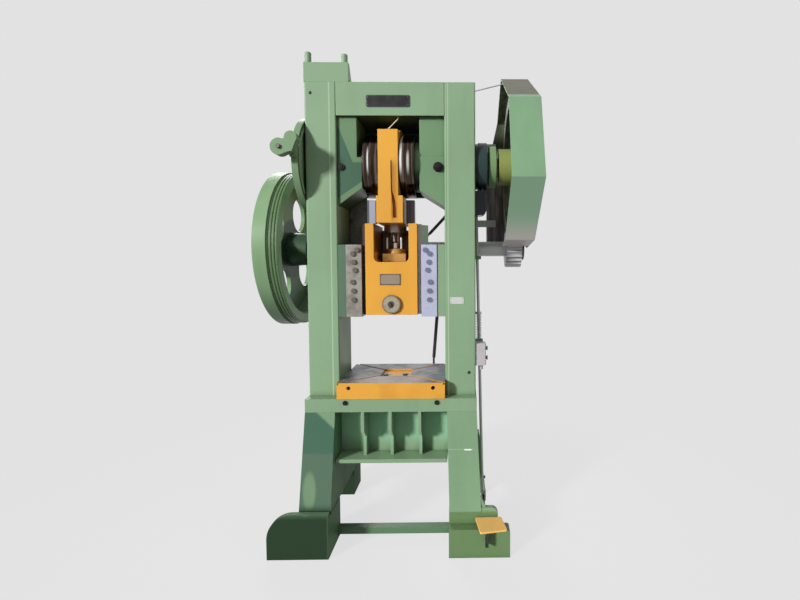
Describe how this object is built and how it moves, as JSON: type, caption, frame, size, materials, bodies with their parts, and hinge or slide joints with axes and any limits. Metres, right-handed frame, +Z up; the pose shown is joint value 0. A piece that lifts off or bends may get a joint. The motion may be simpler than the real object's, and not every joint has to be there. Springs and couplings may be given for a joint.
{
  "type": "mechanical stamping press",
  "caption": "Straight-sided mechanical stamping press with crankshaft, pitman, vee-guided slide, bolster, back shaft with flywheel, gear guard and foot pedal.",
  "frame": {"origin": "on the floor, in the middle of the four anchor bolts", "axes": "+X to the operator's right, +Y to the back, +Z up"},
  "size_m": [1.337, 1.015, 2.39],
  "materials": {
    "green_paint": "gloss enamel",
    "grey_green_paint": "satin",
    "yellow_paint": "gloss enamel",
    "ground_steel": "ground",
    "dark_steel": "oiled",
    "bronze": "turned",
    "brake_lining": "matt",
    "black_plate": "satin",
    "pale_plate": "satin",
    "grey_paint": "satin",
    "green_plastic": "gloss",
    "red_plastic": "gloss"
  },
  "bodies": {
    "frame": {"bed": "green_paint", "bolster": "yellow_paint", "bolster_screws": "dark_steel", "brake_band": "green_paint", "brake_bolt": "dark_steel", "brake_lining": "brake_lining", "crown": "green_paint", "crown_plate": "black_plate", "frame_bolts": "dark_steel", "gib_screws": "dark_steel", "guard": "green_paint", "guard_arms": "grey_green_paint", "latch_housing": "grey_green_paint", "left_base": "green_paint", "left_bearing_box": "green_paint", "left_gib": "ground_steel", "left_pillar": "green_paint", "lever_pins": "dark_steel", "lube_lines": "dark_steel", "main_bushes": "bronze", "motor_bracket": "green_paint", "pillar_plate": "pale_plate", "pillow_blocks": "green_paint", "return_spring": "dark_steel", "right_base": "green_paint", "right_bearing_box": "green_paint", "right_gib": "ground_steel", "right_pillar": "green_paint", "shaft_bushes": "bronze", "starter_box": "grey_paint", "starter_cover": "grey_paint", "tie_bar": "green_paint"},
    "crank": {"crankshaft": "dark_steel", "brake_drum": "green_paint", "clutch_collar": "grey_green_paint", "clutch_disc": "green_paint", "end_collar": "dark_steel"},
    "sleeve": {"eccentric_sleeve": "ground_steel"},
    "pitman_body": {"pitman": "yellow_paint", "pitman_bush": "bronze", "lock_collar": "dark_steel"},
    "slide_body": {"slide": "yellow_paint", "guide_bars": "ground_steel", "slide_plate": "pale_plate", "ball_seat": "dark_steel", "ball_cap": "dark_steel", "shank_clamp": "ground_steel"},
    "screw_body": {"ball_screw": "ground_steel"},
    "gear_body": {"bull_gear": "dark_steel", "gear_bush": "bronze"},
    "flywheel_body": {"flywheel": "green_paint", "back_shaft": "ground_steel", "shaft_collars": "dark_steel", "pinion": "dark_steel"},
    "pedal": {"pedal_lever": "green_paint", "pedal_plate": "yellow_paint"},
    "rod_body": {"pull_rod": "dark_steel"},
    "latch": {"trip_latch": "dark_steel"},
    "start": {"start_button": "green_plastic"},
    "stop": {"stop_button": "red_plastic"}
  },
  "joints": [
    {"name": "crank_spin", "type": "hinge", "parent": "frame", "child": "crank", "pos_m": [0, -0.1, 1.865], "axis": [1, 0, 0], "continuous": true},
    {"name": "sleeve_turn", "type": "hinge", "parent": "crank", "child": "sleeve", "pos_m": [0, -0.1, 1.8775], "axis": [1, 0, 0], "continuous": true},
    {"name": "pitman_turn", "type": "hinge", "parent": "sleeve", "child": "pitman_body", "pos_m": [0, -0.1, 1.89], "axis": [1, 0, 0], "continuous": true},
    {"name": "slide_adjust", "type": "slide", "parent": "pitman_body", "child": "slide_body", "axis": [0, 0, 1], "range_m": [-0.03, 0]},
    {"name": "screw_turn", "type": "hinge", "parent": "slide_body", "child": "screw_body", "pos_m": [0, -0.1, 1.425], "axis": [0, 0, 1], "range_deg": [-905, 5]},
    {"name": "flywheel_spin", "type": "hinge", "parent": "frame", "child": "flywheel_body", "pos_m": [0, 0.065, 1.45281], "axis": [1, 0, 0], "continuous": true},
    {"name": "bull_gear_spin", "type": "hinge", "parent": "frame", "child": "gear_body", "pos_m": [0, -0.1, 1.865], "axis": [1, 0, 0], "continuous": true},
    {"name": "pedal_press", "type": "hinge", "parent": "frame", "child": "pedal", "pos_m": [0.457, 0.21, 0.09], "axis": [1, 0, 0], "range_deg": [0, 2.3], "stiffness_Nm_per_rad": 500, "springref_deg": -3.44},
    {"name": "rod_pull", "type": "slide", "parent": "frame", "child": "rod_body", "axis": [0.0205, 0, -0.9998], "range_m": [0, 0.0093], "deforming": ["return_spring"]},
    {"name": "latch_turn", "type": "hinge", "parent": "frame", "child": "latch", "pos_m": [0.439, -0.13, 1.665], "axis": [1, 0, 0], "range_deg": [-4.8, 0]},
    {"name": "start_press", "type": "slide", "parent": "frame", "child": "start", "axis": [-1, 0, 0], "range_m": [0, 0.0035], "stiffness_N_per_m": 600, "springref_m": -0.003},
    {"name": "stop_press", "type": "slide", "parent": "frame", "child": "stop", "axis": [-1, 0, 0], "range_m": [0, 0.0035], "stiffness_N_per_m": 600, "springref_m": -0.003}
  ],
  "couplings": [
    {"joint": "sleeve_turn", "follows": "crank_spin", "ratio": -2},
    {"joint": "pitman_turn", "follows": "crank_spin", "ratio": 1},
    {"joint": "screw_turn", "follows": "slide_adjust", "rad_per_m": 523.6},
    {"joint": "bull_gear_spin", "follows": "flywheel_spin", "ratio": -0.26136},
    {"joint": "rod_pull", "follows": "pedal_press", "m_per_rad": 0.228},
    {"joint": "latch_turn", "follows": "pedal_press", "ratio": -2.0357}
  ]
}
